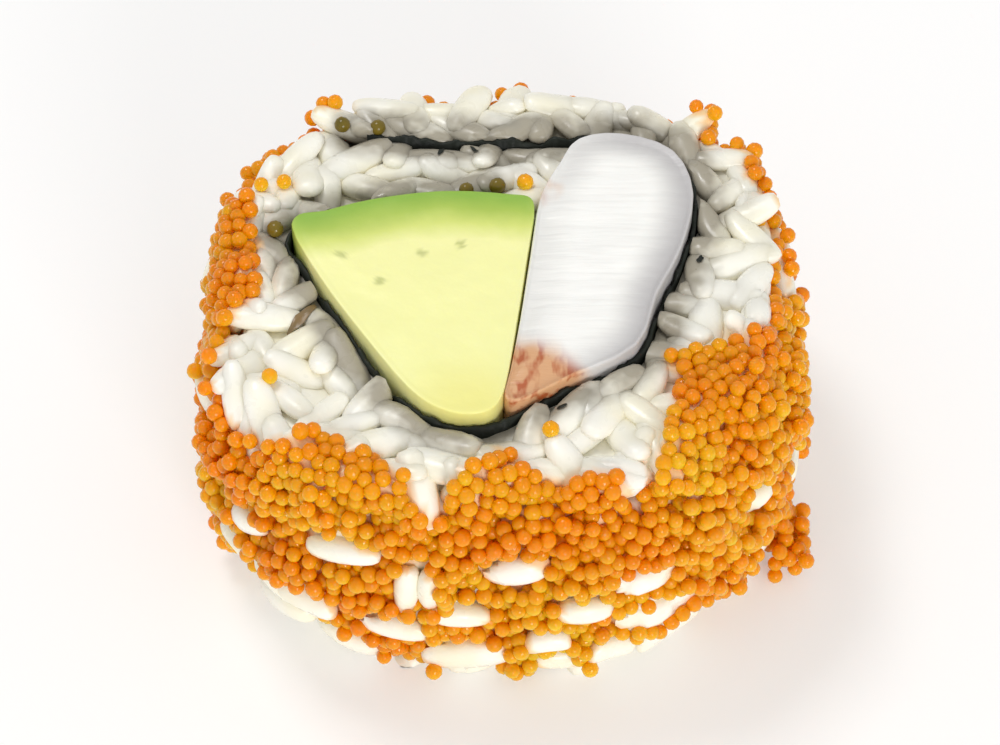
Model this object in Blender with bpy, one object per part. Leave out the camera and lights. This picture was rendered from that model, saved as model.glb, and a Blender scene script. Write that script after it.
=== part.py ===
"""One piece of uramaki, an inside-out sushi roll, standing on its lower cut face.

The sheet of nori is a spiral: it wraps an avocado wedge and a crab stick once and then
overlaps itself. The rice lies on the sheet's outer side, so it follows the same spiral, and
its inner end is tucked under the overlap. A coat of flying-fish roe surrounds the rice.

Lengths are in millimetres until millimetres() turns them into Blender's metres.
X runs to the right, Y away from the front, Z up. The origin is the centre of the base.
"""

import math

import bmesh
import bpy
from mathutils import Vector, noise

# Driving dimensions
WIDTH = 50.0  # of the outline that the thickest roe reaches, along X
DEPTH = 47.5  # and along Y
HEIGHT = 24.0  # one slice of the roll, to the avocado's top
GAP = 0.3  # clearance between neighbouring solids
NORI_THICK = 0.5
SQUARENESS = 2.8  # exponent of the superellipse: 2 is an ellipse, more is squarer
BARREL = 1.2  # how far the wall draws in towards the two cut faces
ROUNDED_CORNERS = [  # direction and width in degrees, extra draw, and which end: 1 top, -1 base
    (-38.0, 38.0, 3.0, 1),
    (-50.0, 25.0, 2.0, -1),
    (-140.0, 30.0, 2.5, -1),
]
ROE_LEAST, ROE_MOST = 1.0, 2.6  # the coat's thickness where it is thin and where it heaps up
ROE_RAGGED = 2.6  # how far its two rims wander up and down
RICE_TOP = HEIGHT - 0.9
CRAB_TOP = HEIGHT - 0.5
NORI_TOP = HEIGHT - 0.8
SOFT_RIM = 0.6  # how far the rims of the fillings are rounded
ANGLE_STEP = 5  # degrees between sections of the roll
RICE_START = 65  # degrees: the tucked rice ends here, against the crab stick
TUCK_RADIUS = 8.0  # how near that end comes to SPIRAL_CENTRE, past the sheet's own end
SEAM = 1.5  # degrees between the sheet's outer end and the rice beside it
SEAM_RAMP = 6.0  # degrees over which that rice steps out from under the overlap
PRESSED = 0.35  # how much the mat has flattened and pushed in the wall here and there
GRAIN_DEPTH = 0.5  # how deep the hollows are in the rice's outer wall
CUT_DEPTH = 0.9  # and in its cut face

# The middle of the nori, from the end tucked over the avocado, round the filling and back
# over itself. The points are joined by a smooth curve.
NORI_LINE = [
    (-1.5, 9.2), (-5.5, 8.8), (-10.0, 8.0), (-14.0, 6.6), (-16.6, 4.6),
    (-14.7, 1.0), (-11.6, -4.6), (-7.6, -11.0), (-4.8, -13.6), (-2.3, -14.2),
    (0.3, -13.5), (4.7, -10.5), (10.3, -7.2), (12.0, -2.0), (14.0, 2.6),
    (15.2, 8.5), (13.8, 13.4), (9.6, 15.3), (4.0, 15.0), (-4.0, 14.8),
    (-9.0, 15.3), (-13.0, 15.6),
]
SPIRAL_CENTRE = Vector((-0.8, 0.5))  # every ray from here crosses each turn of the nori once

# The fillings' outlines at the cut, anticlockwise. Corners are rounded afterwards.
AVOCADO_LINE = [
    (-15.6, 5.0), (-13.0, -0.6), (-9.8, -5.9), (-6.4, -11.0), (-4.2, -12.9), (-2.2, -13.4),
    (-0.5, -12.7), (0.4, -9.5), (1.1, -4.5), (1.9, 2.0), (2.4, 7.1), (0.8, 7.8),
    (-4.4, 8.0), (-9.8, 7.1), (-13.4, 5.9),
]
CRAB_LINE = [
    (0.8, -12.2), (4.9, -9.7), (9.7, -6.7), (11.3, -1.8), (13.3, 2.9), (14.4, 8.4),
    (13.1, 12.7), (9.4, 14.4), (6.3, 14.0), (4.8, 11.6), (3.2, 8.0), (2.4, 2.0),
    (1.6, -4.5), (0.9, -9.5),
]


def millimetres(x, y, z):
    return Vector((x, y, z)) * 0.001


def bump(x, y, z, size):
    """A smooth, repeatable unevenness from 0 to 1, whose lumps are about size across."""
    return 0.5 + 0.5 * noise.noise(Vector((x, y, z)) / size)


def curve_through(points, steps, closed):
    """A Catmull-Rom curve through the points, with that many steps between each two."""
    count = len(points)
    pick = (lambda i: points[i % count]) if closed else (lambda i: points[max(0, min(i, count - 1))])
    curve = []
    for i in range(count if closed else count - 1):
        a, b, c, d = (Vector(pick(i + k)) for k in (-1, 0, 1, 2))
        for k in range(steps):
            t = k / steps
            curve.append(0.5 * (
                2 * b
                + (c - a) * t
                + (2 * a - 5 * b + 4 * c - d) * t**2
                + (3 * b - a - 3 * c + d) * t**3
            ))
    if not closed:
        curve.append(Vector(points[-1]))
    return curve


def spiral_table():
    """The nori's middle as (turned angle in degrees, radius) about SPIRAL_CENTRE."""
    table = []
    turned = 0.0
    before = None
    for point in curve_through(NORI_LINE, 6, closed=False):
        arm = point - SPIRAL_CENTRE
        angle = math.degrees(math.atan2(arm.y, arm.x))
        if before is None:
            turned = angle
        else:
            turned += (angle - before + 180) % 360 - 180
        before = angle
        table.append((turned, arm.length))
    return table


SPIRAL = spiral_table()
# The sheet's two ends, moved to whole sections
SHEET_START = math.ceil(SPIRAL[0][0] / ANGLE_STEP) * ANGLE_STEP
SHEET_END = math.floor(SPIRAL[-1][0] / ANGLE_STEP) * ANGLE_STEP
LAP_END = SHEET_END - 360  # from SHEET_START to here the sheet lies under its own other end


def nori_radius(angle):
    """How far the nori's middle is from SPIRAL_CENTRE at a turned angle in degrees."""
    for (a0, r0), (a1, r1) in zip(SPIRAL, SPIRAL[1:]):
        if a0 <= angle <= a1:
            return r0 + (r1 - r0) * (angle - a0) / max(a1 - a0, 1e-9)
    return SPIRAL[0][1] if angle < SPIRAL[0][0] else SPIRAL[-1][1]


def ray(angle, radius):
    turn = math.radians(angle)
    return SPIRAL_CENTRE + radius * Vector((math.cos(turn), math.sin(turn)))


def in_section(point, inset):
    """Below 1 inside the roll's outline, drawn in by inset, and above 1 outside it."""
    return (
        abs(point.x / (WIDTH / 2 - inset)) ** SQUARENESS
        + abs(point.y / (DEPTH / 2 - inset)) ** SQUARENESS
    )


def wall_radius(angle, inset):
    """How far the roll's outline, drawn in by inset, is from SPIRAL_CENTRE."""
    low, high = 0.0, WIDTH
    for _ in range(30):
        middle = (low + high) / 2
        if in_section(ray(angle, middle), inset) < 1:
            low = middle
        else:
            high = middle
    return low


def rice_wall(angle, z):
    """The radius of the rice under the roe, drawn in like a barrel towards both cut faces."""
    from_middle = 2 * z / HEIGHT - 1
    drawn_in = BARREL * abs(from_middle) ** 3
    for direction, width, depth, end in ROUNDED_CORNERS:
        away = (angle - direction + 180) % 360 - 180
        near_end = max(0.0, from_middle * end)
        drawn_in += depth * math.exp(-((away / width) ** 2)) * near_end**3
    turn = math.radians(angle)
    pressed = PRESSED * abs(math.sin(3 * turn + 0.5) + math.sin(5 * turn + 2.0))
    return wall_radius(angle, ROE_MOST + GAP + drawn_in) - pressed


def rows(low, high, count):
    return [low + (high - low) * i / (count - 1) for i in range(count)]


def solid_of(name, sections, closed, material):
    """A solid lofted through sections, which are rings of corners with equal counts.

    An open loft gets a cap at each end. A closed one runs back to its first section.
    """
    shape = bmesh.new()
    made = [shape.verts.new(millimetres(*corner)) for ring in sections for corner in ring]
    size, count = len(sections[0]), len(sections)
    for i in range(count if closed else count - 1):
        here, there = i * size, (i + 1) % count * size
        for k in range(size):
            after = (k + 1) % size
            shape.faces.new((made[here + k], made[here + after], made[there + after], made[there + k]))
    if not closed:
        shape.faces.new(made[:size][::-1])
        shape.faces.new(made[-size:])
    bmesh.ops.triangulate(shape, faces=[f for f in shape.faces if len(f.verts) > 4])
    bmesh.ops.recalc_face_normals(shape, faces=shape.faces)
    return node_of(name, shape, material)


def node_of(name, shape, material):
    mesh = bpy.data.meshes.new(name)
    shape.to_mesh(mesh)
    shape.free()
    node = bpy.data.objects.new(name, mesh)
    bpy.context.scene.collection.objects.link(node)
    mesh.materials.append(material)
    mesh.shade_smooth()
    mesh.set_sharp_from_angle(angle=math.radians(40))
    return node


def food(name, colour, roughness):
    material = bpy.data.materials.new(name)
    material.use_nodes = True
    shader = material.node_tree.nodes["Principled BSDF"]
    shader.inputs["Base Color"].default_value = (*colour, 1.0)
    shader.inputs["Roughness"].default_value = roughness
    shader.inputs["Metallic"].default_value = 0.0
    return material


def make_nori():
    """The sheet, standing on its edge just clear of the table."""
    half = NORI_THICK / 2
    sections = []
    for angle in range(SHEET_START, SHEET_END + 1, ANGLE_STEP):
        middle = nori_radius(angle)
        inner, outer = ray(angle, middle - half), ray(angle, middle + half)
        sections.append([
            (*inner, GAP), (*outer, GAP), (*outer, NORI_TOP), (*inner, NORI_TOP),
        ])
    return solid_of("nori", sections, False, food("nori", (0.012, 0.018, 0.012), 0.45))


def make_rice():
    """The rice, from its end tucked under the nori's overlap to its end over it."""
    wall_rows = rows(0.0, RICE_TOP - 1.0, 9)
    clear = NORI_THICK / 2 + GAP
    sections = []
    for angle in range(RICE_START, SHEET_END + 1, ANGLE_STEP):
        on_sheet = angle > SHEET_START - 2 * ANGLE_STEP
        inner = nori_radius(angle) + clear if on_sheet else TUCK_RADIUS
        under = nori_radius(min(angle, LAP_END) + 360) - clear
        stepped_out = max(0.0, min(1.0, (angle - LAP_END - SEAM) / SEAM_RAMP))
        outer_wall = []
        for z in wall_rows:
            outside = rice_wall(angle, z)
            x, y = ray(angle, outside)
            outside -= GRAIN_DEPTH * bump(x, y, z, 4.0)
            outer_wall.append(under + (outside - under) * stepped_out)
        sections.append(rice_section(angle, inner, outer_wall, wall_rows))
    return solid_of("rice", sections, False, food("rice", (0.86, 0.83, 0.74), 0.5))


def rice_section(angle, inner, outer_wall, wall_rows):
    """One ring of corners: up the outer wall, back over the lumpy cut face and down inside."""
    ring = [(*ray(angle, radius), z) for radius, z in zip(outer_wall, wall_rows)]
    rim = outer_wall[-1]
    for share in (0.85, 0.55, 0.25, 0.0):
        x, y = ray(angle, inner + (rim - inner) * share)
        ring.append((x, y, RICE_TOP - CUT_DEPTH * bump(x, y, 0, 3.5)))
    ring.append((*ray(angle, inner), wall_rows[4]))
    ring.append((*ray(angle, inner), 0.0))
    return ring


def make_roe_coat():
    """The roe: a coat of uneven thickness with ragged rims."""
    sections = []
    for angle in range(0, 360, ANGLE_STEP):
        x, y = ray(angle, wall_radius(angle, 0))
        top = RICE_TOP - ROE_RAGGED * bump(x, y, HEIGHT, 7.0)
        bottom = ROE_RAGGED * bump(x, y, 0, 6.0) ** 1.5
        levels = rows(bottom, top, 9)
        ring = [(*ray(angle, rice_wall(angle, z) + GAP), z) for z in reversed(levels[::2])]
        for z in levels:
            x, y = ray(angle, rice_wall(angle, z))
            heap = min(1.0, 1.5 * bump(x, y, z, 5.0))
            rim = 1 - abs(2 * (z - bottom) / (top - bottom) - 1) ** 4
            thick = ROE_LEAST + (ROE_MOST - ROE_LEAST) * heap * rim
            ring.append((*ray(angle, rice_wall(angle, z) + GAP + thick), z))
        sections.append(ring)
    return solid_of("roe_coat", sections, True, food("roe", (0.95, 0.33, 0.02), 0.25))


def make_filling(name, line, top, material):
    """A bar with the given outline, whose rims are softened by a bevel."""
    shape = bmesh.new()
    base = [shape.verts.new(millimetres(x, y, 0)) for x, y in curve_through(line, 3, closed=True)]
    face = shape.faces.new(base)
    grown = bmesh.ops.extrude_face_region(shape, geom=[face])["geom"]
    lifted = [v for v in grown if isinstance(v, bmesh.types.BMVert)]
    bmesh.ops.translate(shape, verts=lifted, vec=millimetres(0, 0, top))
    rim = [e for e in shape.edges if all(v in lifted for v in e.verts)]
    bmesh.ops.bevel(
        shape, geom=rim, offset=SOFT_RIM * 0.001, segments=2, profile=0.5, affect="EDGES",
        clamp_overlap=True,
    )
    bmesh.ops.triangulate(shape, faces=[f for f in shape.faces if len(f.verts) > 4])
    bmesh.ops.recalc_face_normals(shape, faces=shape.faces)
    return node_of(name, shape, material)


def clear_scene():
    for leftover in list(bpy.data.objects):
        bpy.data.objects.remove(leftover)


def centre_on_origin(nodes):
    """Moves the meshes so that the middle of the whole base is the origin."""
    corners = [v.co for node in nodes for v in node.data.vertices]
    x = (min(c.x for c in corners) + max(c.x for c in corners)) / 2
    y = (min(c.y for c in corners) + max(c.y for c in corners)) / 2
    for node in nodes:
        for v in node.data.vertices:
            v.co -= Vector((x, y, 0))


def main():
    clear_scene()
    nodes = [
        make_rice(),
        make_nori(),
        make_filling("avocado", AVOCADO_LINE, HEIGHT, food("avocado", (0.80, 0.78, 0.22), 0.4)),
        make_filling("crab_stick", CRAB_LINE, CRAB_TOP, food("crab", (0.88, 0.84, 0.80), 0.45)),
        make_roe_coat(),
    ]
    centre_on_origin(nodes)


main()
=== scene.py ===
"""Looks of one uramaki piece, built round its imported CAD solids.

Every solid is replaced by a finer piece in the same place: rice grains stuck together over a
core, single roe beads, a ragged sheet of nori, and the two fillings with their own cut faces.

Shapes are worked out in millimetres and turned into metres in add_piece().
"""

import bisect
import math
import random

import bmesh
import bpy
from mathutils import Matrix, Vector, kdtree, noise
from mathutils.bvhtree import BVHTree


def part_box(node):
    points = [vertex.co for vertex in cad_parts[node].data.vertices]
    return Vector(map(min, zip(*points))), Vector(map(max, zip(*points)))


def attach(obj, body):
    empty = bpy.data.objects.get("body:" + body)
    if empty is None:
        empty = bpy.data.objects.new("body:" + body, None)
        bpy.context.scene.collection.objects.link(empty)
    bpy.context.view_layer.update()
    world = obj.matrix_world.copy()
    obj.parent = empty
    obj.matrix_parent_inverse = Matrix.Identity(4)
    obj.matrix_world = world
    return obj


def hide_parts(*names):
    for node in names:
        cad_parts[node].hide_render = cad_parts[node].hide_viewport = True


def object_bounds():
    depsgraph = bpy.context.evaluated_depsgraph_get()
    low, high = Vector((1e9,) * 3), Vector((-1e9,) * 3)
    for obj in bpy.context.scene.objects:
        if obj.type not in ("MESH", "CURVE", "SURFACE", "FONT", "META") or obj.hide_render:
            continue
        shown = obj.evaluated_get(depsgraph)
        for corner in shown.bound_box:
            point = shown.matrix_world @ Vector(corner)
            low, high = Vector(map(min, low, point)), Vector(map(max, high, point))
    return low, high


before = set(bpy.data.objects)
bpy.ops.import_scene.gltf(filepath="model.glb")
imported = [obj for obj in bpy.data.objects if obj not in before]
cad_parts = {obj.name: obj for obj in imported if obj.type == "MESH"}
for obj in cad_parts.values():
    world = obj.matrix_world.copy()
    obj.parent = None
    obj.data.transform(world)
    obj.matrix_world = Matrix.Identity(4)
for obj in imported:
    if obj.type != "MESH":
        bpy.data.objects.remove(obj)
CAD_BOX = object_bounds()

MM = 0.001  # metres in a millimetre
UP = Vector((0, 0, 1))
FAR_OUT = 60  # outside the roll in any direction, where rays towards it start
FAR_UP = 40

# Rice
GRAIN_LONG, GRAIN_WIDE, GRAIN_THICK = 5.8, 2.5, 2.1
TOP_SPACING = 2.1  # between grains' middles on the cut faces
WALL_SPACING = 2.6  # and on the wall under the roe
CORE_INSET = 1.1  # how far the core lies under the grains' outer side
KNIFE_PRESS = 0.7  # what the knife left of each grain's rise over the cut
NORI_PRESS = 0.35  # how far the rice is pressed towards the nori, past its CAD solid
SKIN_VOXEL = 0.3  # of the closed skin that the roe lies on
CUT_SLOPE = 0.5  # a face whose normal rises or falls more steeply than this is a cut face
CUT_DEPTH = 0.9  # the knife pressed what rises above this depth under the rice's top
NORI_ROOM = 0.9  # a grain's middle keeps this far from the nori
PAST_NORI, PAST_COAT = 0.1, 1.2  # how far a grain may reach into the nori and past the roe's inner side
SHORTEST_REACH = 0.2  # of a grain's points from its middle, however near a guard is
SHARP_ANGLE = 60  # in degrees, of the creases between grains and in them

# Roe
BEAD_RADIUS = 0.64
BEAD_SPACING = 1.02  # beads press into each other a little
BED_LIFT = 0.45  # from the rice to the middles of the beads that lie on it
HEAP_SPACING = 0.98  # between any bead of the heap above them and the rest
HEAP_TRIES = 80000
HEAP_START, HEAP_STEP = 0.3, 0.1  # a dropped bead is tried that far above the bed, and then in such steps
DROP_SPACING = 0.25
START_SPACING, LEAST_SPACING = 0.74, 0.72  # of the bed's beads before and after packing, in bead spacings
PACKING_ROUNDS = 12
ROE_INSIDE = 13  # no roe lies nearer the axis than this
COAT_REACH = 1.6  # nor farther from the roe's CAD solid, as in the gaps beside the nori
UNDERSIDE = -0.6  # nor where the rice's normal falls more steeply than this
LOOSE_LIFT = 0.45  # of a stray bead's middle over the rice
TUFT_TRIES = 400
BEADS_IN_PIECE = 2400
BEAD_GLOW = 0.45  # how much yellower than its top the lower side of a bead is, where light gathers
# Where the roe starts on the upper cut face: (direction in degrees, distance from the axis)
ROE_EDGE = [
    (-181, 18.3), (-172, 19.5), (-165, 21.5), (-155, 24.0), (-140, 23.0), (-130, 20.2), (-116, 19.3),
    (-103, 21.0), (-97, 18.5), (-90, 16.5), (-81, 18.5), (-70, 19.5), (-62, 22.0), (-52, 19.0),
    (-43, 17.5), (-30, 14.5), (-20, 17.5), (-8, 21.5), (20, 22.5), (60, 23.0), (95, 22.0), (120, 23.0),
    (150, 25.0), (160, 20.5), (170, 19.0), (181, 18.3),
]
# Grains that show through the roe: (direction in degrees, height, half width, half height)
FRONT_WINDOWS = [
    (-120, 15.5, 3.6, 0.9), (-106, 12.5, 1.6, 2.0), (-87, 14.0, 2.4, 1.1), (-128, 7.5, 2.2, 1.2),
    (-111, 7.0, 2.6, 0.9), (-62, 12.0, 2.2, 1.0), (-73, 9.5, 1.8, 0.9), (-97, 3.0, 3.8, 1.4),
    (-59, 7.0, 3.4, 1.1), (-141, 13.0, 1.6, 0.9), (-67, 3.0, 1.6, 1.2), (-80, 5.5, 1.4, 0.8),
    (-98, 9.0, 1.9, 0.8), (-147, 8.0, 1.8, 1.0), (-137, 4.4, 4.2, 2.3), (-122, 2.4, 2.6, 1.3),
    (-54, 2.8, 3.6, 1.4), (-77, 1.8, 1.8, 1.0),
]
ROW_WIDTH = 2.1  # of one row of grains, where a window is wide enough for several
WINDOW_RISE = 0.6  # of such a grain's middle from the rice wall, at most
WINDOW_LIFT = 0.25  # the gap in the roe lies this much higher than its grain, as roe above would hide it
WINDOW_RIM = 0.15  # the beads keep this far from such a grain's edge
TOP_RIM, WALL_RIM = 3.5, 1.5  # how far below the coat's top the upper face's edge counts, facing up or out
# How high bare rice reaches up the wall from the table: (direction in degrees, height)
ROE_FOOT = [
    (-181, 1.0), (-160, 1.5), (-145, 3.0), (-132, 4.6), (-122, 4.2), (-112, 1.5), (-104, 1.2), (-95, 1.8),
    (-84, 0.7), (-74, 1.0), (-66, 2.6), (-52, 3.4), (-42, 1.6), (-25, 0.8), (30, 1.4), (100, 2.0), (181, 1.0),
]
SEAM_WINDOWS = [(129, 3.5, 1.0, 2.4), (127, 8.0, 2.6, 1.0), (130, 12.5, 1.0, 2.4), (128, 17.5, 2.4, 1.1)]
OTHER_WINDOWS = 22  # spread over the sides and the back
WALL_RADIUS = 22.0  # of the roll, about
STRAY_BEADS = [
    (-17.2, -10.2), (3.8, -15.2), (2.0, 9.7), (-18.4, 9.6), (-20.4, 6.9), (-16.6, 9.9), (12.8, -13.4),
]
# Beads on the nori's edge, painted dark as painted shade from the black nori under them
DARK_BEADS = [(-17.2, 5.2), (-0.2, 9.7), (-12.4, 16.3), (-9.6, 16.0), (-2.6, 9.3)]
DARK_BEAD_HEIGHT = 22.9

# Fillings
FILLING_GROWTH = 0.15  # out of their CAD solids, towards each other
NORI_NEAR = 1.2  # where the nori is nearer than this, a filling grows towards it
NORI_FAR = 0.4  # by at most this much
CRAB_SIDE_SKIN = Vector((2.7, 9.1))  # a small spot of skin beside the avocado

# Torn bits of nori on the upper cut face: (x, y, length, width, heading in degrees)
NORI_FLAKES = [
    (-4.6, 13.6, 1.3, 0.4, 75), (-2.0, 13.7, 1.1, 0.3, -60), (4.5, -12.4, 0.8, 0.4, 30),
    (15.2, 2.2, 0.9, 0.5, 60),
]
NORI_FLAP = (-14.8, -3.3, 3.4, 0.8, 55)  # a thin, pale brown one
FLAKE_LIFT = 0.12  # of a flake's middle over the rice
NO_RICE_HEIGHT = 22.5  # the ground of a flake's points with no rice under them
SHEET_STEPS, SHEET_LEVELS = 520, 9  # of the sheet's mesh, along it and up it
TUFT_BOX = ((21.5, -11.5, 0.7), (23.9, -6.5, 3.4))  # a few beads squeezed out at the foot

# Light and camera
VIEW_ELEVATION = 50.0
VIEW_DISTANCE = 260.0
LENS = 120.0


# ---------------------------------------------------------------- geometry


def cad_shape(node):
    """A CAD node's mesh in millimetres, with the points that its export split joined again."""
    shape = bmesh.new()
    shape.from_mesh(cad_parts[node].data)
    bmesh.ops.scale(shape, vec=Vector((1, 1, 1)) / MM, verts=shape.verts)
    bmesh.ops.remove_doubles(shape, verts=shape.verts, dist=0.001)
    shape.normal_update()
    return shape


def surface_of(shape):
    return BVHTree.FromBMesh(shape)


def lumps(point, size):
    """A smooth, repeatable unevenness from -1 to 1, whose lumps are about size across."""
    return noise.noise(point / size)


def smoothstep(low, high, value):
    t = max(0.0, min(1.0, (value - low) / (high - low)))
    return t * t * (3 - 2 * t)


def base_outline(shape):
    """The outline of a bar's flat base, as flat points in order."""
    lowest = min(v.co.z for v in shape.verts)
    base = {f for f in shape.faces if all(v.co.z < lowest + 0.001 for v in f.verts)}
    rim = [e for e in shape.edges if sum(f in base for f in e.link_faces) == 1]
    beside = {}
    for edge in rim:
        a, b = edge.verts
        beside.setdefault(a, []).append(b)
        beside.setdefault(b, []).append(a)
    before, here = None, rim[0].verts[0]
    outline = []
    for _ in rim:
        outline.append(Vector((here.co.x, here.co.y)))
        ahead = [v for v in beside[here] if v is not before]
        before, here = here, ahead[0]
    return outline


def evenly(points, count, closed=True):
    """The same line with count points at even steps."""
    line = points + points[:1] if closed else points
    lengths = [(b - a).length for a, b in zip(line, line[1:])]
    total = sum(lengths)
    steps = count if closed else count - 1
    made, walked, i = [], 0.0, 0
    for k in range(count):
        target = total * k / steps
        while i < len(lengths) - 1 and walked + lengths[i] < target:
            walked += lengths[i]
            i += 1
        made.append(line[i].lerp(line[i + 1], (target - walked) / max(lengths[i], 1e-9)))
    return made


def softened(points, rounds):
    """A closed line with its corners eased."""
    for _ in range(rounds):
        count = len(points)
        points = [(points[i - 1] + 2 * points[i] + points[(i + 1) % count]) / 4 for i in range(count)]
    return points


def grown(points, nori):
    """A filling's anticlockwise outline moved outwards: just into the nori where that is near."""
    gaps = [nori.find_nearest(Vector((p.x, p.y, 10)))[3] for p in points]
    steps = [min(gap, NORI_FAR) + 0.05 if gap < NORI_NEAR else FILLING_GROWTH for gap in gaps]
    count = len(points)
    for _ in range(count):
        steps = [(steps[i - 1] + steps[i] + steps[(i + 1) % count]) / 3 for i in range(count)]
    made = []
    for i, p in enumerate(points):
        ahead = points[(i + 1) % count] - points[i - 1]
        made.append(p + Vector((ahead.y, -ahead.x)).normalized() * steps[i])
    return made


def area_of(points):
    return 0.5 * sum(a.x * b.y - a.y * b.x for a, b in zip(points, points[1:] + points[:1]))


def set_values(mesh, key, numbers):
    """One number for each point of a mesh, which its material reads by that name."""
    mesh.attributes.new(key, "FLOAT", "POINT").data.foreach_set("value", numbers)


def add_piece(name, verts, faces, material, values=None):
    """A mesh piece, from millimetres, with one number for each point under each name in values."""
    mesh = bpy.data.meshes.new(name)
    mesh.from_pydata([Vector(v) * MM for v in verts], [], faces)
    mesh.shade_smooth()
    piece = bpy.data.objects.new(name, mesh)
    bpy.context.scene.collection.objects.link(piece)
    mesh.materials.append(material)
    for key, numbers in (values or {}).items():
        set_values(mesh, key, numbers)
    return piece


def finish_piece(piece, slot, *nodes):
    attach(piece, "root")
    if nodes:
        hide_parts(*nodes)


# ---------------------------------------------------------------- materials


def srgb(red, green, blue):
    """A colour as seen, from 0 to 255, turned into Blender's linear one."""
    seen = (red, green, blue)
    return tuple(((c / 255 + 0.055) / 1.055) ** 2.4 if c > 10 else c / 255 / 12.92 for c in seen)


class Look:
    """A Principled material and short names for the nodes that these foods need."""

    def __init__(self, name, roughness, **sockets):
        self.material = bpy.data.materials.new(name)
        self.material.use_nodes = True
        self.tree = self.material.node_tree
        self.shader = self.tree.nodes["Principled BSDF"]
        self.shader.inputs["Roughness"].default_value = roughness
        for key, value in sockets.items():
            self.shader.inputs[key.replace("_", " ")].default_value = value

    def node(self, kind, **settings):
        made = self.tree.nodes.new(kind)
        for key, value in settings.items():
            setattr(made, key, value)
        return made

    def link(self, output, socket):
        self.tree.links.new(output, socket)

    def place(self, stretch=(1, 1, 1)):
        """Where a point is on the object, in millimetres, stretched."""
        mapping = self.node("ShaderNodeMapping")
        mapping.inputs["Scale"].default_value = Vector(stretch) / MM
        self.link(self.node("ShaderNodeTexCoord").outputs["Object"], mapping.inputs["Vector"])
        return mapping.outputs["Vector"]

    def grain(self, size, stretch=(1, 1, 1), detail=2.0):
        """Noise from 0 to 1, whose lumps are about size millimetres across."""
        made = self.node("ShaderNodeTexNoise")
        made.inputs["Scale"].default_value = 1.0 / size
        made.inputs["Detail"].default_value = detail
        self.link(self.place(stretch), made.inputs["Vector"])
        return made.outputs["Fac"]

    def value(self, name):
        return self.node("ShaderNodeAttribute", attribute_name=name).outputs["Fac"]

    def ramp(self, factor, stops):
        """Colours or greys along factor: stops are (place, colour)."""
        made = self.node("ShaderNodeValToRGB")
        self.link(factor, made.inputs["Fac"])
        elements = made.color_ramp.elements
        while len(elements) < len(stops):
            elements.new(1.0)
        for element, (place, colour) in zip(elements, stops):
            element.position = place
            element.color = (*colour, 1.0)
        return made.outputs["Color"]

    def mix(self, factor, first, second, blend="MIX"):
        """A colour between two, each a socket or a colour."""
        made = self.node("ShaderNodeMix", data_type="RGBA", blend_type=blend)
        for socket, given in ((made.inputs[0], factor), (made.inputs[6], first), (made.inputs[7], second)):
            if isinstance(given, bpy.types.NodeSocket):
                self.link(given, socket)
            else:
                socket.default_value = given if isinstance(given, float) else (*given, 1.0)
        return made.outputs[2]

    def sum(self, first, second, kind="ADD"):
        made = self.node("ShaderNodeMath", operation=kind, use_clamp=True)
        for socket, given in zip(made.inputs, (first, second)):
            if isinstance(given, bpy.types.NodeSocket):
                self.link(given, socket)
            else:
                socket.default_value = given
        return made.outputs[0]

    def colour(self, output):
        self.link(output, self.shader.inputs["Base Color"])

    def gloss(self, factor, low, high):
        """Roughness that wanders between two values."""
        rough = self.ramp(factor, [(0.35, (low,) * 3), (0.65, (high,) * 3)])
        self.link(rough, self.shader.inputs["Roughness"])

    def relief(self, height, depth, before=None):
        """A bump of that depth in millimetres, on top of an earlier one."""
        made = self.node("ShaderNodeBump")
        made.inputs["Distance"].default_value = depth * MM
        made.inputs["Strength"].default_value = 1.0
        self.link(height, made.inputs["Height"])
        if before:
            self.link(before, made.inputs["Normal"])
        self.link(made.outputs["Normal"], self.shader.inputs["Normal"])
        return made.outputs["Normal"]


BLACK, WHITE = (0, 0, 0), (1, 1, 1)
RICE_WHITE = srgb(250, 247, 234)
RICE_CREAM = srgb(247, 241, 216)
# Painted shade: the grey of rice that lies against the dark nori
RICE_NORI_SHADE_GREY = srgb(166, 159, 142)
RICE_STAINED = srgb(250, 190, 96)
NORI_BLACK = srgb(20, 22, 22)
NORI_GREEN = srgb(40, 46, 36)
FLAP_BROWN = srgb(146, 116, 76)
FLAP_OLIVE = srgb(112, 98, 64)
AVOCADO_RIM = srgb(140, 182, 66)
AVOCADO_GREEN = srgb(174, 200, 84)
AVOCADO_MIDDLE = srgb(216, 226, 122)
AVOCADO_PALE = srgb(248, 247, 172)
AVOCADO_DEEP = srgb(240, 233, 136)
AVOCADO_SPECK = srgb(150, 160, 84)
CRAB_WHITE = srgb(250, 249, 244)
CRAB_GREY = srgb(180, 177, 178)
CRAB_PINK = srgb(216, 166, 122)
CRAB_RED = srgb(180, 94, 50)
ROE_ORANGE = srgb(255, 180, 12)
ROE_YELLOW = srgb(255, 216, 44)
ROE_DEEP = srgb(255, 152, 6)
# Painted shade: orange roe darkened by the black nori under it
ROE_NORI_SHADED_OLIVE = srgb(136, 112, 32)
ROE_NORI_SHADED_DARK = srgb(84, 76, 26)


def soft_inside(weight, radius):
    """Light that goes about two millimetres into a food, as settings for Look."""
    return {"Subsurface_Weight": weight, "Subsurface_Scale": 2 * MM, "Subsurface_Radius": radius}


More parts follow.
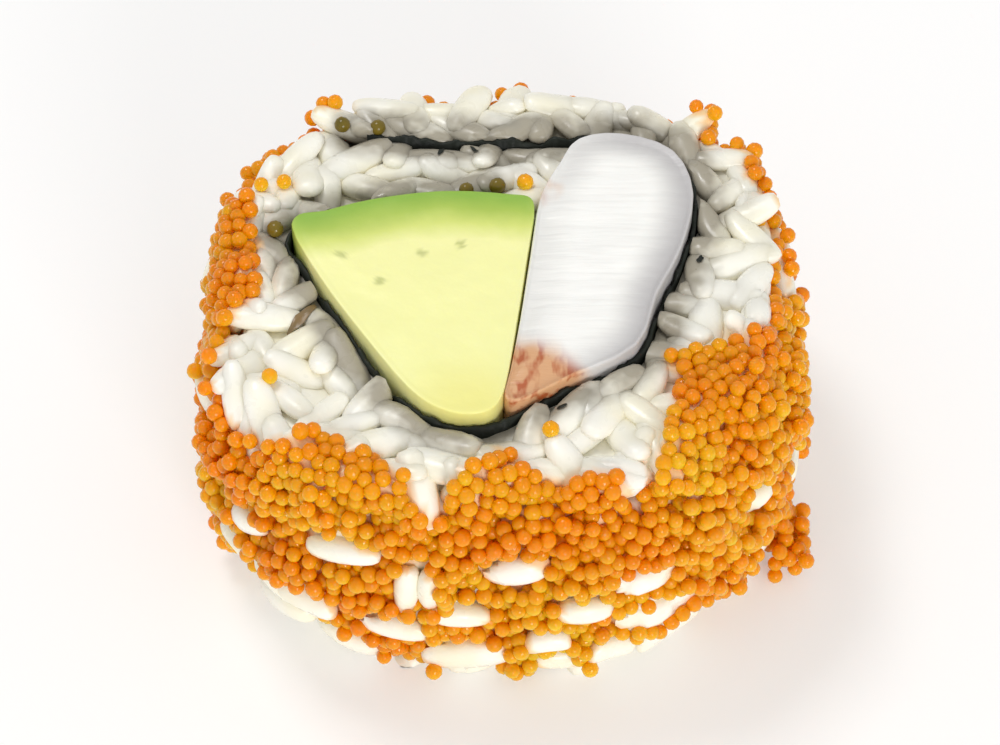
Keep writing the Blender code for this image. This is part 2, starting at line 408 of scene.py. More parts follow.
def rice_look():
    look = Look("rice", 0.35, **soft_inside(0.2, (1.0, 0.9, 0.75)))
    patches = look.ramp(look.grain(5.0), [(0.4, BLACK), (0.65, WHITE)])
    cream = look.mix(patches, RICE_WHITE, RICE_CREAM)
    # Painted shade: the rice is greyed where it lies against the dark nori, with some noise
    painted_nori_shade = look.sum(look.value("painted_nori_shade"), look.grain(2.2), "MULTIPLY")
    painted_nori_shade = look.ramp(painted_nori_shade, [(0.06, BLACK), (0.42, WHITE)])
    look.colour(look.mix(look.value("stained"), look.mix(painted_nori_shade, cream, RICE_NORI_SHADE_GREY), RICE_STAINED))
    look.gloss(look.grain(1.5), 0.22, 0.45)
    look.relief(look.grain(0.5), 0.02)
    return look.material


def nori_look():
    look = Look("nori", 0.5, Specular_IOR_Level=0.25)
    look.colour(look.mix(look.grain(1.2), NORI_BLACK, NORI_GREEN))
    look.relief(look.grain(0.4), 0.06)
    return look.material


def flap_look():
    look = Look("nori_flap", 0.3)
    look.colour(look.mix(look.grain(0.8), FLAP_BROWN, FLAP_OLIVE))
    return look.material


def avocado_look():
    look = Look("avocado", 0.34, **soft_inside(0.15, (1.0, 0.9, 0.3)))
    wander = look.sum(look.grain(3.0), 0.12, "MULTIPLY")
    skin = look.sum(look.value("from_skin"), wander)
    stops = [(0.09, AVOCADO_RIM), (0.24, AVOCADO_GREEN), (0.4, AVOCADO_MIDDLE), (0.56, AVOCADO_PALE)]
    flesh = look.mix(look.value("near_pit"), look.ramp(skin, stops), AVOCADO_DEEP)
    look.colour(look.mix(look.value("speck"), flesh, AVOCADO_SPECK))
    look.gloss(look.grain(4.0), 0.28, 0.45)
    look.relief(look.grain(1.2), 0.04)
    return look.material


def crab_look():
    look = Look("crab", 0.38, **soft_inside(0.2, (1.0, 0.9, 0.85)))
    fibres = look.grain(0.4, stretch=(0.1, 1, 0.3), detail=3.0)
    body = look.mix(look.value("shade"), CRAB_WHITE, CRAB_GREY)
    body = look.mix(look.ramp(fibres, [(0.3, (0.12,) * 3), (0.5, BLACK)]), body, CRAB_GREY)
    flecks = look.ramp(look.grain(0.8, stretch=(1, 0.4, 1)), [(0.5, BLACK), (0.66, WHITE)])
    skin = look.mix(flecks, CRAB_PINK, CRAB_RED)
    look.colour(look.mix(look.value("skin"), body, skin))
    look.gloss(look.grain(2.5), 0.28, 0.45)
    look.relief(fibres, 0.05)
    return look.material


def roe_look():
    look = Look("roe", 0.1, Subsurface_Weight=0.2, Subsurface_Scale=1 * MM, IOR=1.36, Transmission_Weight=0.3)
    look.colour(look.ramp(look.value("tint"), [(0.0, ROE_DEEP), (0.5, ROE_ORANGE), (1.0, ROE_YELLOW)]))
    return look.material


def roe_shaded_by_nori_look():
    # Orange roe painted dark and olive, as painted shade from the black nori under these beads
    look = Look("roe_shaded_by_nori", 0.12, IOR=1.38)
    look.colour(look.mix(look.grain(1.0), ROE_NORI_SHADED_OLIVE, ROE_NORI_SHADED_DARK))
    return look.material


# ---------------------------------------------------------------- rice


def grain_mesh(rng, length, wide, thick, around=12, along=10):
    """One cooked grain along X, as (points, faces): a blunt, slightly bent and tapered spindle."""
    bend = rng.uniform(-0.5, 0.5)
    taper = rng.uniform(-0.12, 0.12)
    verts = [Vector((-length / 2, 0, bend))]
    for i in range(1, along):
        turn = math.pi * i / along
        x = -math.cos(turn)
        girth = math.sin(turn) ** 0.62 * (1 + taper * x)
        for k in range(around):
            side = 2 * math.pi * k / around
            verts.append(Vector((
                x * length / 2,
                girth * wide / 2 * math.cos(side),
                girth * thick / 2 * math.sin(side) + bend * x * x,
            )))
    verts.append(Vector((length / 2, 0, bend)))
    last = len(verts) - 1
    faces = [(0, 1 + (k + 1) % around, 1 + k) for k in range(around)]
    for i in range(along - 2):
        row = 1 + i * around
        for k in range(around):
            after = (k + 1) % around
            faces.append((row + k, row + after, row + around + after, row + around + k))
    row = 1 + (along - 2) * around
    faces += [(row + k, row + (k + 1) % around, last) for k in range(around)]
    return verts, faces


def lying_on(normal, heading, tilt):
    """A turn that lays a grain along a surface, at a heading from level and tipped by tilt."""
    level = UP.cross(normal).normalized() if abs(normal.z) < 0.9 else Vector((1, 0, 0))
    level.rotate(Matrix.Rotation(heading, 3, normal))
    turn = Matrix((level, normal.cross(level), normal)).transposed()
    return turn @ Matrix.Rotation(tilt, 3, "Y")


def scattered(faces, spacing, rng, tries):
    """Places on some triangles at least spacing apart, as (point, normal)."""
    sums, total = [], 0.0
    for face in faces:
        total += face.calc_area()
        sums.append(total)
    taken = {}
    places = []
    for _ in range(tries):
        face = faces[bisect.bisect_left(sums, rng.uniform(0, total))]
        a, b, c = (v.co for v in face.verts[:3])
        u, v = rng.random(), rng.random()
        if u + v > 1:
            u, v = 1 - u, 1 - v
        point = a + (b - a) * u + (c - a) * v
        if fits(taken, point, spacing):
            places.append((point, face.normal.copy()))
    return places


def fits(taken, point, spacing):
    """True, and the place is taken, where no earlier point is nearer than spacing."""
    x, y, z = (math.floor(c / spacing) for c in point)
    for i in (x, x - 1, x + 1):
        for j in (y, y - 1, y + 1):
            for k in (z, z - 1, z + 1):
                for other in taken.get((i, j, k), ()):
                    if (other - point).length_squared < spacing * spacing:
                        return False
    taken.setdefault((x, y, z), []).append(point)
    return True


def faces_nori(face):
    """True for the side walls that lie on the nori, not on the roe."""
    middle = face.calc_center_median()
    outward = middle.x * face.normal.x + middle.y * face.normal.y > 0
    return abs(face.normal.z) <= CUT_SLOPE and not outward


def is_cut(face):
    return abs(face.normal.z) > CUT_SLOPE


def is_wall(face):
    return not is_cut(face) and not faces_nori(face)


def core_of(shape):
    """The rice solid, drawn in under its cut faces and its wall but pressed up to the nori."""
    core = shape.copy()
    moves = []
    for v in core.verts:
        move = Vector()
        for kind, depth in ((is_cut, CORE_INSET), (is_wall, CORE_INSET), (faces_nori, -NORI_PRESS)):
            around = [f.normal for f in v.link_faces if kind(f)]
            if around:
                move -= sum(around, Vector()).normalized() * depth
        moves.append(move)
    for v, move in zip(core.verts, moves):
        v.co += move
    return core


def pressed(points, middle, guards):
    """Grain points pulled back to where the way from the grain's middle meets a guard.

    Guards are (surface, how far past it the grain may reach).
    """
    made = []
    for point in points:
        way = point - middle
        reach = way.length
        for guard, past in guards:
            gap = guard.ray_cast(middle, way, reach)[3]
            if gap is not None:
                reach = min(reach, max(SHORTEST_REACH, gap + past))
        made.append(middle + way.normalized() * reach)
    return made


def windows():
    """All the places where a grain shows through the roe."""
    rng = random.Random(5)
    found = FRONT_WINDOWS + SEAM_WINDOWS
    for _ in range(OTHER_WINDOWS):
        angle, height = rng.uniform(-35, 215), rng.uniform(2, 19)
        found.append((angle, height, rng.uniform(1.5, 3.2), rng.uniform(0.7, 1.2)))
    return found


def on_cylinder(angle, z):
    """A direction in degrees and a height, as (unit way out from the axis, foot on the axis)."""
    turn = math.radians(angle)
    return Vector((math.cos(turn), math.sin(turn), 0)), Vector((0, 0, z))


def wall_at(surface, angle, z):
    """A place on the rice wall, level with the outermost wall around it, and the normal there."""
    hits = []
    for aside in (-5, 0, 5):
        way, foot = on_cylinder(angle + aside, z)
        hits.append(surface.ray_cast(foot + way * FAR_OUT, -way))
    point, normal, _, _ = max(hits, key=lambda hit: hit[0].xy.length)
    way, foot = on_cylinder(angle, z)
    return foot + way * point.xy.length, normal


def laid_grains(rng, shape):
    """Where each grain lies: (middle, turn, length, width, thickness)."""
    surface = surface_of(shape)
    cut = scattered([f for f in shape.faces if is_cut(f)], TOP_SPACING, rng, 9000)
    wall = scattered([f for f in shape.faces if is_wall(f)], WALL_SPACING, rng, 9000)
    laid = []
    # Places, how deep a grain's middle is sunk (from, to, in thicknesses), spread of tilt and of heading
    kinds = ((cut, (0.15, 0.45), 0.2, 9.0), (wall, (0.3, 0.5), 0.12, 0.45))
    for places, sink, tilt, turning in kinds:
        for point, normal in places:
            size = rng.uniform(0.82, 1.12)
            lump = 0.5 * smoothstep(0.0, 0.5, lumps(point, 6.0)) * abs(normal.z)
            middle = point + normal * (lump - GRAIN_THICK * size * rng.uniform(*sink))
            turn = lying_on(normal, rng.gauss(0, turning), rng.gauss(0, tilt))
            laid.append((middle, turn, GRAIN_LONG * size, GRAIN_WIDE * size, GRAIN_THICK * size))
    for angle, z, wide, tall in windows():
        point, normal = wall_at(surface, angle, z)
        upright = tall > wide
        length, across = 2 * max(wide, tall) + 0.8, 2.2 * min(wide, tall)
        rows = max(1, round(across / ROW_WIDTH))
        aside = UP.cross(normal).normalized() if upright else UP
        for row in range(rows):
            heading = rng.gauss(0, 0.22) + (math.pi / 2 if upright else 0)
            turn = lying_on(normal, heading, rng.gauss(0, 0.08))
            rise = WINDOW_RISE * rng.uniform(0.2, 1.0)
            middle = point + normal * rise + aside * across * ((row + 0.5) / rows - 0.5)
            longest = rng.uniform(5.5, 7.5)
            laid.append((middle, turn, min(length, longest), across / rows + 0.3, GRAIN_THICK))
    return laid


def make_rice(material):
    """Cooked grains stuck together over a smaller core."""
    rng = random.Random(11)
    shape = cad_shape("rice")
    nori = surface_of(cad_shape("nori"))
    guards = [(nori, PAST_NORI), (surface_of(cad_shape("roe_coat")), PAST_COAT)]
    guards += [(surface_of(cad_shape(node)), -FILLING_GROWTH) for node in ("avocado", "crab_stick")]
    cut_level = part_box("rice")[1].z / MM - CUT_DEPTH
    verts, faces = [], []

    def add(points, polygons):
        start = len(verts)
        verts.extend(points)
        faces.extend(tuple(start + i for i in face) for face in polygons)

    core = core_of(shape)
    core.verts.index_update()
    add([v.co.copy() for v in core.verts], [[v.index for v in f.verts] for f in core.faces])
    for middle, turn, length, wide, thick in laid_grains(rng, shape):
        beside = nori.find_nearest(middle)
        away = Vector((middle.x - beside[0].x, middle.y - beside[0].y, 0))
        if away.length > 0.01:
            middle += away.normalized() * max(0.0, NORI_ROOM - beside[3])
        points, polygons = grain_mesh(rng, length, wide, thick)
        points = pressed([turn @ p + middle for p in points], middle, guards)
        foot = rng.uniform(0.0, 0.15)
        for p in points:
            if p.z >= cut_level:
                p.z = cut_level + KNIFE_PRESS * (p.z - cut_level)
            p.z = max(foot, p.z)
        add(points, polygons)
    piece = add_piece("rice_grains", verts, faces, material)
    piece.data.set_sharp_from_angle(angle=math.radians(SHARP_ANGLE))
    # Painted shade: 1 at the nori, fading out about 3.6 mm away, which greys the rice there
    painted_nori_shade = [1.0 - smoothstep(0.3, 3.6, nori.find_nearest(v.co / MM)[3]) for v in piece.data.vertices]
    set_values(piece.data, "painted_nori_shade", painted_nori_shade)
    finish_piece(piece, "rice", "rice")
    return piece


# ---------------------------------------------------------------- roe


def bead_mesh():
    ball = bmesh.new()
    bmesh.ops.create_icosphere(ball, subdivisions=2, radius=1.0)
    verts = [v.co.copy() for v in ball.verts]
    faces = [tuple(v.index for v in f.verts) for f in ball.faces]
    ball.free()
    return verts, faces


def make_beads(name, places, material, rng, nodes=()):
    """One piece of beads, which replaces those nodes: places are (middle, tint)."""
    ball, triangles = bead_mesh()
    verts, faces, tints = [], [], []
    for middle, tint in places:
        start = len(verts)
        radius = BEAD_RADIUS * rng.uniform(0.92, 1.08)
        turn = Matrix.Rotation(rng.uniform(0, math.tau), 3, Vector((rng.gauss(0, 1), rng.gauss(0, 1), 1)))
        verts.extend(turn @ (p * radius) + middle for p in ball)
        faces.extend((start + a, start + b, start + c) for a, b, c in triangles)
        tints.extend(tint - BEAD_GLOW * (turn @ p).z for p in ball)
    piece = add_piece(name, verts, faces, material, {"tint": tints})
    finish_piece(piece, "roe", *nodes)


class Coat:
    """The roe solid, seen from the roll's axis."""

    def __init__(self):
        self.surface = surface_of(cad_shape("roe_coat"))
        self.low, self.high = (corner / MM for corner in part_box("roe_coat"))

    def depth(self, point):
        """How thick the coat is at that direction and height, or 0 where there is none."""
        start = Vector((0, 0, point.z))
        way = Vector((point.x, point.y, 0)).normalized()
        inner = self.surface.ray_cast(start, way)[3]
        outer = self.surface.ray_cast(start + way * FAR_OUT, -way)[3]
        return 0.0 if inner is None else FAR_OUT - outer - inner

    def distance(self, point):
        return self.surface.find_nearest(point)[3]


def along_ring(table, angle):
    """The value between a table's entries, each (direction in degrees, value)."""
    i = bisect.bisect_right([place for place, _ in table], angle)
    (a, low), (b, high) = table[i - 1], table[i]
    return low + (high - low) * smoothstep(a, b, angle)


def roe_room(point, normal, coat, gaps):
    """How far from the rice the middle of a bead may lie there, or 0 where none lies."""
    around = point.xy.length
    angle = math.degrees(math.atan2(point.y, point.x))
    rim = TOP_RIM if normal.z > 0.35 else WALL_RIM
    if point.z > coat.high.z - rim:
        inside = around - along_ring(ROE_EDGE, angle) - 1.2 * lumps(point, 2.5)
        return 0.0 if inside < 0 else BED_LIFT + 1.0 * smoothstep(1.0, 5.0, inside)
    foot = along_ring(ROE_FOOT, angle) + 1.0 * lumps(Vector((point.x, point.y, 0)), 2.5)
    if normal.z < UNDERSIDE or point.z < foot or coat.distance(point) > COAT_REACH:
        return 0.0
    room = max(BED_LIFT, coat.depth(point) - 0.5 + 0.7 * lumps(point, 3.0))
    for direction, z, wide, tall in gaps:
        along = math.radians((angle - direction + 180) % 360 - 180) * WALL_RADIUS
        across = math.hypot(along / (wide + WINDOW_RIM), (point.z - z - WINDOW_LIFT) / (tall + WINDOW_RIM))
        if across < 1:
            return 0.0
        room = min(room, BED_LIFT + (across - 1) * (tall + WINDOW_RIM))
    return room


def packed(points, spacing, hold, rounds):
    """Moves points apart until they are about spacing from each other; hold puts one back in its layer."""
    for _ in range(rounds):
        tree = kdtree.KDTree(len(points))
        for i, p in enumerate(points):
            tree.insert(p, i)
        tree.balance()
        moved = []
        for i, p in enumerate(points):
            push = Vector()
            for other, k, gap in tree.find_range(p, spacing):
                if k != i and gap > 1e-6:
                    push += (p - other) * ((spacing - gap) / gap)
            moved.append(hold(p + push * 0.35))
        points = moved
    return points


def skin_of(piece):
    """One closed skin round everything in a piece, in millimetres and in triangles."""
    remesh = piece.modifiers.new("fuse", "REMESH")
    remesh.mode = "VOXEL"
    remesh.voxel_size = SKIN_VOXEL * MM
    fused = piece.evaluated_get(bpy.context.evaluated_depsgraph_get())
    skin = bmesh.new()
    skin.from_mesh(fused.data)
    piece.modifiers.clear()
    bmesh.ops.scale(skin, vec=Vector((1, 1, 1)) / MM, verts=skin.verts)
    bmesh.ops.triangulate(skin, faces=skin.faces)
    skin.normal_update()
    return skin


def bedded(starts, rice_surface, room):
    """A closed layer of beads right on the rice, which leaves out the windows."""
    def hold(p):
        place, normal, _, _ = rice_surface.find_nearest(p)
        out = p - place
        out = out.normalized() if out.dot(normal) > 0 and out.length > 0.1 else normal
        return place + out * BED_LIFT

    wanted = [p + n * BED_LIFT for p, n in starts if room(p, n)]
    taken = {}
    bed = []
    for p in packed(wanted, BEAD_SPACING, hold, PACKING_ROUNDS):
        place, normal, _, _ = rice_surface.find_nearest(p)
        if room(place, normal) and fits(taken, p, BEAD_SPACING * LEAST_SPACING):
            bed.append(p)
    return bed


def heaped(bed, drops):
    """Beads that came to rest on the bed and on each other: drops are (point, way up, room)."""
    taken = {}
    for p in bed:
        taken.setdefault(tuple(math.floor(c / HEAP_SPACING) for c in p), []).append(p)
    heap = []
    for point, way, room in drops:
        lift = BED_LIFT + HEAP_START
        while lift <= room:
            middle = point + way * lift
            if fits(taken, middle, HEAP_SPACING):
                heap.append(middle)
                break
            lift += HEAP_STEP
    return heap


def stain(rice, room):
    """Marks the rice that lies under roe, which colours it."""
    marks = []
    for v in rice.data.vertices:
        point = v.co / MM
        under = point.xy.length > ROE_INSIDE and room(point, v.normal) > 0
        marks.append(0.6 if under else 0.0)
    set_values(rice.data, "stained", marks)


def make_roe(rice, rice_skin, rice_surface, material):
    """A bed of beads on the rice with more heaped on it, close together but never in rows."""
    rng = random.Random(23)
    coat = Coat()
    gaps = windows()

    def room(point, normal):
        return roe_room(point, normal, coat, gaps)

    stain(rice, room)
    faces = [f for f in rice_skin.faces if f.calc_center_median().xy.length > ROE_INSIDE]
    starts = scattered(faces, BEAD_SPACING * START_SPACING, rng, HEAP_TRIES)
    bed = bedded(starts, rice_surface, room)
    drops = []
    for point, normal in scattered(faces, DROP_SPACING, rng, HEAP_TRIES):
        highest = room(point, normal)
        if highest > BED_LIFT + HEAP_START:
            outward = Vector((point.x, point.y, 0)).normalized()
            drops.append((point, (normal + outward).normalized(), highest))
    heap = heaped(bed, drops)
    low, high = BEAD_RADIUS * 1.1, CAD_BOX[1].z / MM
    beads = [p for p in bed + heap if low < p.z < high]
    beads.sort(key=lambda p: math.atan2(p.y, p.x))
    pieces = math.ceil(len(beads) / BEADS_IN_PIECE)
    for i in range(pieces):
        part = beads[i * len(beads) // pieces:(i + 1) * len(beads) // pieces]
        tinted = [(p, tint_of(p, rng)) for p in part]
        make_beads(f"roe_beads_{i + 1}", tinted, material, rng, ("roe_coat",))


def tint_of(point, rng):
    """A bead's colour, from 0, deep orange, to 1, yellow: neighbours are alike."""
    return 0.5 + 0.6 * lumps(point, 7.0) + rng.gauss(0, 0.1)


def make_stray_beads(rice_surface, material, nori_shaded_material):
    """Single beads: orange ones on the rice and at the foot, and ones where they touch nori, painted dark as
    painted shade from the nori.
    """
    rng = random.Random(31)
    strays = []
    for x, y in STRAY_BEADS:
        place, normal, _, _ = rice_surface.ray_cast(Vector((x, y, FAR_UP)), -UP)
        strays.append((place + normal * LOOSE_LIFT, 0.85))
    taken = {}
    low, high = TUFT_BOX
    for _ in range(TUFT_TRIES):
        p = Vector(tuple(rng.uniform(a, b) for a, b in zip(low, high)))
        if fits(taken, p, BEAD_SPACING):
            strays.append((p, 0.4))
    make_beads("roe_stray_beads", strays, material, rng)
    # Painted shade: these beads are coloured dark for the nori under them
    dark = [(Vector((x, y, DARK_BEAD_HEIGHT)), 0.0) for x, y in DARK_BEADS]
    make_beads("roe_dark_beads", dark, nori_shaded_material, rng)


# ---------------------------------------------------------------- nori


def nori_middle():
    """The sheet's middle line from its inner end to its outer one, and its lowest and highest edge."""
    shape = cad_shape("nori")
    outline = base_outline(shape)
    count = len(outline)
    sides = [(outline[(i + 1) % count] - outline[i]).length for i in range(count)]
    first = (min(range(count), key=lambda i: sides[i]) + 1) % count
    ring = outline[first:] + outline[:first]
    half = count // 2
    middle = [(ring[i] + ring[count - 1 - i]) / 2 for i in range(half)]
    heights = [v.co.z for v in shape.verts]
    return middle, min(heights), max(heights)


def make_nori(material):
    """The sheet, with a torn top edge, uneven thickness and a slight wave."""
    rng = random.Random(3)
    middle, low, high = nori_middle()
    line = evenly(middle, SHEET_STEPS, closed=False)
    levels = SHEET_LEVELS
    verts, faces = [], []
    count = len(line)
    for i, p in enumerate(line):
        ahead = line[min(i + 1, count - 1)] - line[max(i - 1, 0)]
        out = Vector((ahead.y, -ahead.x)).normalized()
        here = Vector((p.x, p.y, 0))
        sunk = 0.9 * smoothstep(0.0, 0.6, lumps(here, 4.0))
        top = high - 0.6 - sunk + 0.4 * lumps(here, 1.3) + 0.2 * lumps(here, 0.4)
        for face_side in (-1, 1):
            for k in range(levels):
                level = k if face_side < 0 else levels - 1 - k
                z = low + (top - low) * level / (levels - 1)
                wave = 0.12 * lumps(Vector((p.x, p.y, z)), 2.2)
                thick = 0.14 + 0.07 * lumps(Vector((p.x, p.y, z + 50)), 0.9)
                shift = out * (wave + face_side * thick)
                verts.append(Vector((p.x + shift.x, p.y + shift.y, z)))
    ring = 2 * levels
    for i in range(count - 1):
        for k in range(ring):
            after = (k + 1) % ring
            faces.append((i * ring + k, i * ring + after, (i + 1) * ring + after, (i + 1) * ring + k))
    faces.append(tuple(range(ring))[::-1])
    faces.append(tuple((count - 1) * ring + k for k in range(ring)))
    piece = add_piece("nori_sheet", verts, faces, material)
    finish_piece(piece, "nori", "nori")


def make_flakes(name, flakes, rice_surface, material):
    """Torn bits of nori on the upper cut face."""
    verts, faces = [], []
    rings, around = 4, 14
    for x, y, length, wide, heading in flakes:
        turn = Matrix.Rotation(math.radians(heading), 3, "Z")
        for side in (1, -1):
            start = len(verts)
            for ring in range(rings + 1):
                for k in range(around):
                    angle = math.tau * k / around
                    ragged = 1 + 0.35 * lumps(Vector((x + math.cos(angle), y + math.sin(angle), 3)), 0.7)
                    reach = ring / rings * ragged
                    along = math.cos(angle) * length / 2 * reach
                    across = math.sin(angle) * wide / 2 * reach
                    p = turn @ Vector((along, across, 0))
                    ground = rice_surface.ray_cast(Vector((x + p.x, y + p.y, FAR_UP)), -UP)[0]
                    base = ground.z if ground else NO_RICE_HEIGHT
                    edge = 0.04 * side * (1 - (ring / rings) ** 2)
                    curl = 0.1 * lumps(p * 3 + Vector((x, y, 0)), 1.0)
                    verts.append(Vector((x + p.x, y + p.y, base + FLAKE_LIFT + edge + curl)))
            for ring in range(rings):
                for k in range(around):
                    after = (k + 1) % around
                    a, b = start + ring * around, start + (ring + 1) * around
                    quad = (a + k, b + k, b + after, a + after)
                    faces.append(quad if side > 0 else quad[::-1])
    piece = add_piece(name, verts, faces, material)
    finish_piece(piece, "nori")


# ---------------------------------------------------------------- fillings


def bar(outline, low, high, round_rim, dome, relief, around, rings):
    """A bar with that outline and domed ends, as (points, faces)."""
    line = softened(evenly(outline, around), 2)
    if area_of(line) < 0:
        line.reverse()
    line = grown(line, surface_of(cad_shape("nori")))
    centre = sum(line, Vector((0, 0))) / len(line)
    # From the bottom's middle to the top's: (how far in from the outline in mm, share of the way to
    # the centre, height, and 1 on the upper end, -1 on the lower one or 0 between)
    path = []
    turns = 5
    side_rows = 16
    for k in range(rings, 0, -1):
        path.append((round_rim, k / rings, low, -1))
    for k in range(turns + 1):
        turn = math.pi / 2 * k / turns
        path.append((round_rim * (1 - math.sin(turn)), 0.0, low + round_rim * (1 - math.cos(turn)), 0))
    for k in range(1, side_rows):
        path.append((0.0, 0.0, low + round_rim + (high - low - 2 * round_rim) * k / side_rows, 0))
    for k in range(turns + 1):
        turn = math.pi / 2 * k / turns
        path.append((round_rim * (1 - math.cos(turn)), 0.0, high - round_rim * (1 - math.sin(turn)), 0))
    for k in range(1, rings + 1):
        path.append((round_rim, k / rings, high, 1))
    verts, faces = [], []
    for inset, share, z, end in path[1:-1]:
        for p in line:
            inward = centre - p
            start = p + inward.normalized() * inset
            q = start.lerp(centre, share)
            height = z
            if end > 0:
                reach = (q - p).length
                height += relief(q) * smoothstep(0, 1.5, reach) - dome * (1 - smoothstep(0, 4.0, reach))
            verts.append(Vector((q.x, q.y, height)))
    count = len(line)
    for i in range(len(path) - 3):
        for k in range(count):
            after = (k + 1) % count
            faces.append((i * count + k, i * count + after, (i + 1) * count + after, (i + 1) * count + k))
    verts.append(Vector((centre.x, centre.y, low)))
    verts.append(Vector((centre.x, centre.y, high + relief(centre))))
    bottom, top = len(verts) - 2, len(verts) - 1
    last = (len(path) - 3) * count
    faces += [(bottom, (k + 1) % count, k) for k in range(count)]
    faces += [(top, last + k, last + (k + 1) % count) for k in range(count)]
    return verts, faces, line


def make_avocado(material):
    shape = cad_shape("avocado")
    outline = base_outline(shape)
    high = max(v.co.z for v in shape.verts)

    def relief(q):
        return 0.10 * lumps(Vector((q.x, q.y, 5)), 5.0) + 0.03 * lumps(Vector((q.x, q.y, 9)), 1.2)

    verts, faces, line = bar(outline, 0.0, high - 0.15, 0.15, 0.05, relief, 260, 30)
    far_side = far_stretch(line)
    tip = min(line, key=lambda p: p.y)
    specks = [Vector((-12.0, 1.6)), Vector((-6.0, 1.9)), Vector((-3.0, 2.8)), Vector((-9.0, -1.0))]
    from_skin, near_pit, speck = [], [], []
    for v in verts:
        flat = Vector((v.x, v.y))
        from_skin.append(min((flat - p).length for p in far_side) / 10)
        near_pit.append(0.75 * (1 - smoothstep(1.0, 7.0, (flat - tip).length)))
        blot = 0.0
        for s in specks:
            blot = max(blot, 0.55 * (1 - smoothstep(0.1, 0.6, (flat - s).length + 0.3 * lumps(v, 0.4))))
        speck.append(blot)
    values = {"from_skin": from_skin, "near_pit": near_pit, "speck": speck}
    piece = add_piece("avocado_slice", verts, faces, material, values)
    finish_piece(piece, "avocado", "avocado")


def far_stretch(line):
    """The part of an anticlockwise outline that faces away from the front."""
    count = len(line)
    return [p for i, p in enumerate(line) if (line[i - 1] - line[(i + 1) % count]).normalized().x > 0.9]


def make_crab(material):
    shape = cad_shape("crab_stick")
    outline = base_outline(shape)
    high = max(v.co.z for v in shape.verts)

    def relief(q):
        curved = q.y - 0.02 * (q.x - 6) ** 2
        fibre = lumps(Vector((q.x / 9, curved, 3)), 0.9)
        return 0.05 * fibre + 0.12 * lumps(Vector((q.x, q.y, 7)), 3.5)

    verts, faces, line = bar(outline, 0.0, high + 0.1, 0.2, 0.2, relief, 420, 40)
    front = min(line, key=lambda p: p.y)
    shade, skin = [], []
    for v in verts:
        flat = Vector((v.x, v.y))
        rim = min((flat - p).length for p in line[::6])
        right = smoothstep(-2, 5, flat.x - 5.5)
        shade.append((1 - smoothstep(0.3, 3.6, rim)) * (0.25 + 0.6 * right))
        from_front = (flat - front).length + 0.8 * lumps(v, 1.5)
        from_side = (flat - CRAB_SIDE_SKIN).length + 0.8 * lumps(v, 1.0)
        skin.append(max(1 - smoothstep(4.6, 7.2, from_front), 0.6 - 0.6 * smoothstep(0.5, 2.2, from_side)))
    piece = add_piece("crab_stick_slice", verts, faces, material, {"shade": shade, "skin": skin})
    finish_piece(piece, "crab", "crab_stick")


# ---------------------------------------------------------------- stage


def make_floor():
    look = Look("floor", 0.9)
    look.shader.inputs["Base Color"].default_value = (0.99, 0.985, 0.975, 1.0)
    light = look.node("ShaderNodeEmission")
    light.inputs["Color"].default_value = (1.0, 1.0, 1.0, 1.0)
    mixed = look.node("ShaderNodeMixShader")
    path = look.node("ShaderNodeLightPath")
    seen = look.sum(look.sum(path.outputs["Is Camera Ray"], path.outputs["Is Glossy Ray"]), 0.3, "MULTIPLY")
    look.link(seen, mixed.inputs["Fac"])
    look.link(look.shader.outputs["BSDF"], mixed.inputs[1])
    look.link(light.outputs["Emission"], mixed.inputs[2])
    look.link(mixed.outputs["Shader"], look.tree.nodes["Material Output"].inputs["Surface"])
    reach = 4.0
    corners = [(-reach, -reach, 0), (reach, -reach, 0), (reach, reach, 0), (-reach, reach, 0)]
    floor = add_piece("floor", [Vector(c) / MM for c in corners], [(0, 1, 2, 3)], look.material)


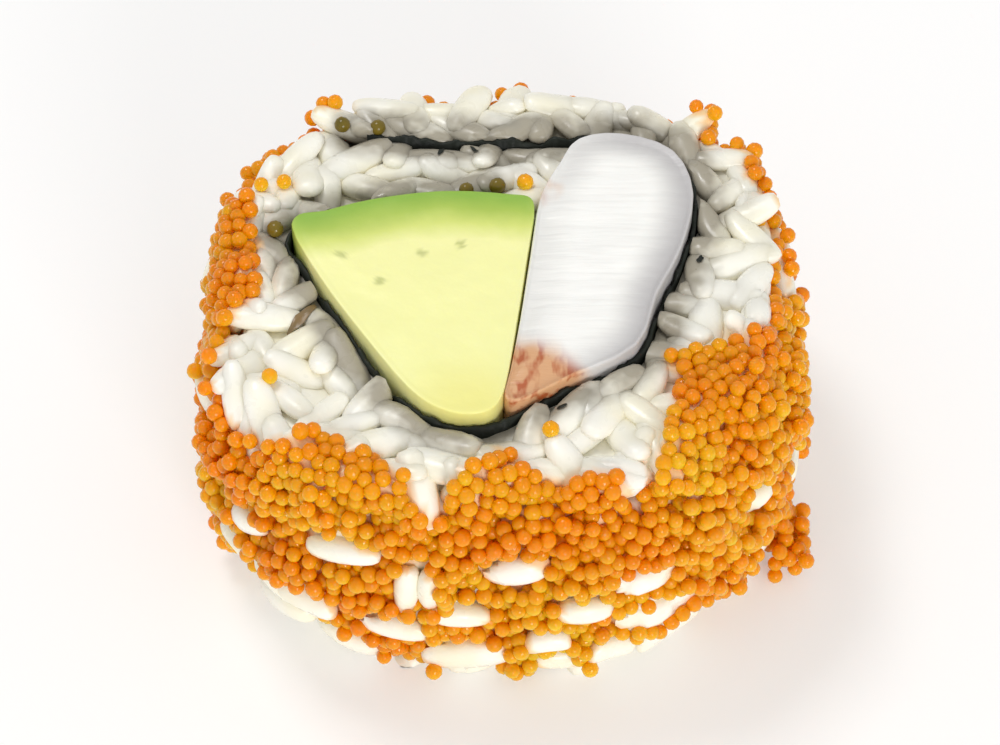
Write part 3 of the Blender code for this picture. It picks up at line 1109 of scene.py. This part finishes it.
def make_world():
    world = bpy.data.worlds.new("studio")
    bpy.context.scene.world = world
    world.use_nodes = True
    tree = world.node_tree
    soft = tree.nodes["Background"]
    soft.inputs["Color"].default_value = (1.0, 1.0, 1.0, 1.0)
    soft.inputs["Strength"].default_value = 0.62
    white = tree.nodes.new("ShaderNodeBackground")
    white.inputs["Color"].default_value = (1.0, 1.0, 1.0, 1.0)
    path = tree.nodes.new("ShaderNodeLightPath")
    either = tree.nodes.new("ShaderNodeMath")
    either.operation = "MAXIMUM"
    mixed = tree.nodes.new("ShaderNodeMixShader")
    tree.links.new(path.outputs["Is Camera Ray"], either.inputs[0])
    tree.links.new(path.outputs["Is Transmission Ray"], either.inputs[1])
    tree.links.new(either.outputs[0], mixed.inputs["Fac"])
    tree.links.new(soft.outputs["Background"], mixed.inputs[1])
    tree.links.new(white.outputs["Background"], mixed.inputs[2])
    tree.links.new(mixed.outputs["Shader"], tree.nodes["World Output"].inputs["Surface"])


def make_lamp(name, place, size, power):
    lamp = bpy.data.lights.new(name, "AREA")
    lamp.size = size
    lamp.energy = power
    made = bpy.data.objects.new(name, lamp)
    made.location = place
    made.rotation_euler = (-Vector(place)).to_track_quat("-Z", "Y").to_euler()
    bpy.context.scene.collection.objects.link(made)


def make_camera():
    low, high = CAD_BOX
    centre = (low + high) / 2
    rise = math.radians(VIEW_ELEVATION)
    back = Vector((0, -math.cos(rise), math.sin(rise)))
    data = bpy.data.cameras.new("camera")
    data.lens = LENS
    data.sensor_width = 36.0
    data.clip_start = 0.01
    camera = bpy.data.objects.new("camera", data)
    camera.location = centre + back * VIEW_DISTANCE * MM
    camera.rotation_euler = (-back).to_track_quat("-Z", "Y").to_euler()
    bpy.context.scene.collection.objects.link(camera)
    bpy.context.scene.camera = camera


def main():
    bpy.context.scene.view_settings.view_transform = "Standard"
    bpy.context.scene.cycles.max_bounces = 16
    bpy.context.scene.cycles.diffuse_bounces = 8
    make_camera()
    make_world()
    make_lamp("key", (-0.2, 0.2, 0.6), 0.18, 1.3)
    make_lamp("fill", (0.2, -0.62, 0.22), 0.25, 2.2)
    make_floor()
    rice = make_rice(rice_look())
    rice_skin = skin_of(rice)
    rice_surface = surface_of(rice_skin)
    nori = nori_look()
    make_nori(nori)
    make_flakes("nori_flakes", NORI_FLAKES, rice_surface, nori)
    make_flakes("nori_flap", [NORI_FLAP], rice_surface, flap_look())
    make_avocado(avocado_look())
    make_crab(crab_look())
    roe = roe_look()
    make_roe(rice, rice_skin, rice_surface, roe)
    make_stray_beads(rice_surface, roe, roe_shaded_by_nori_look())


main()
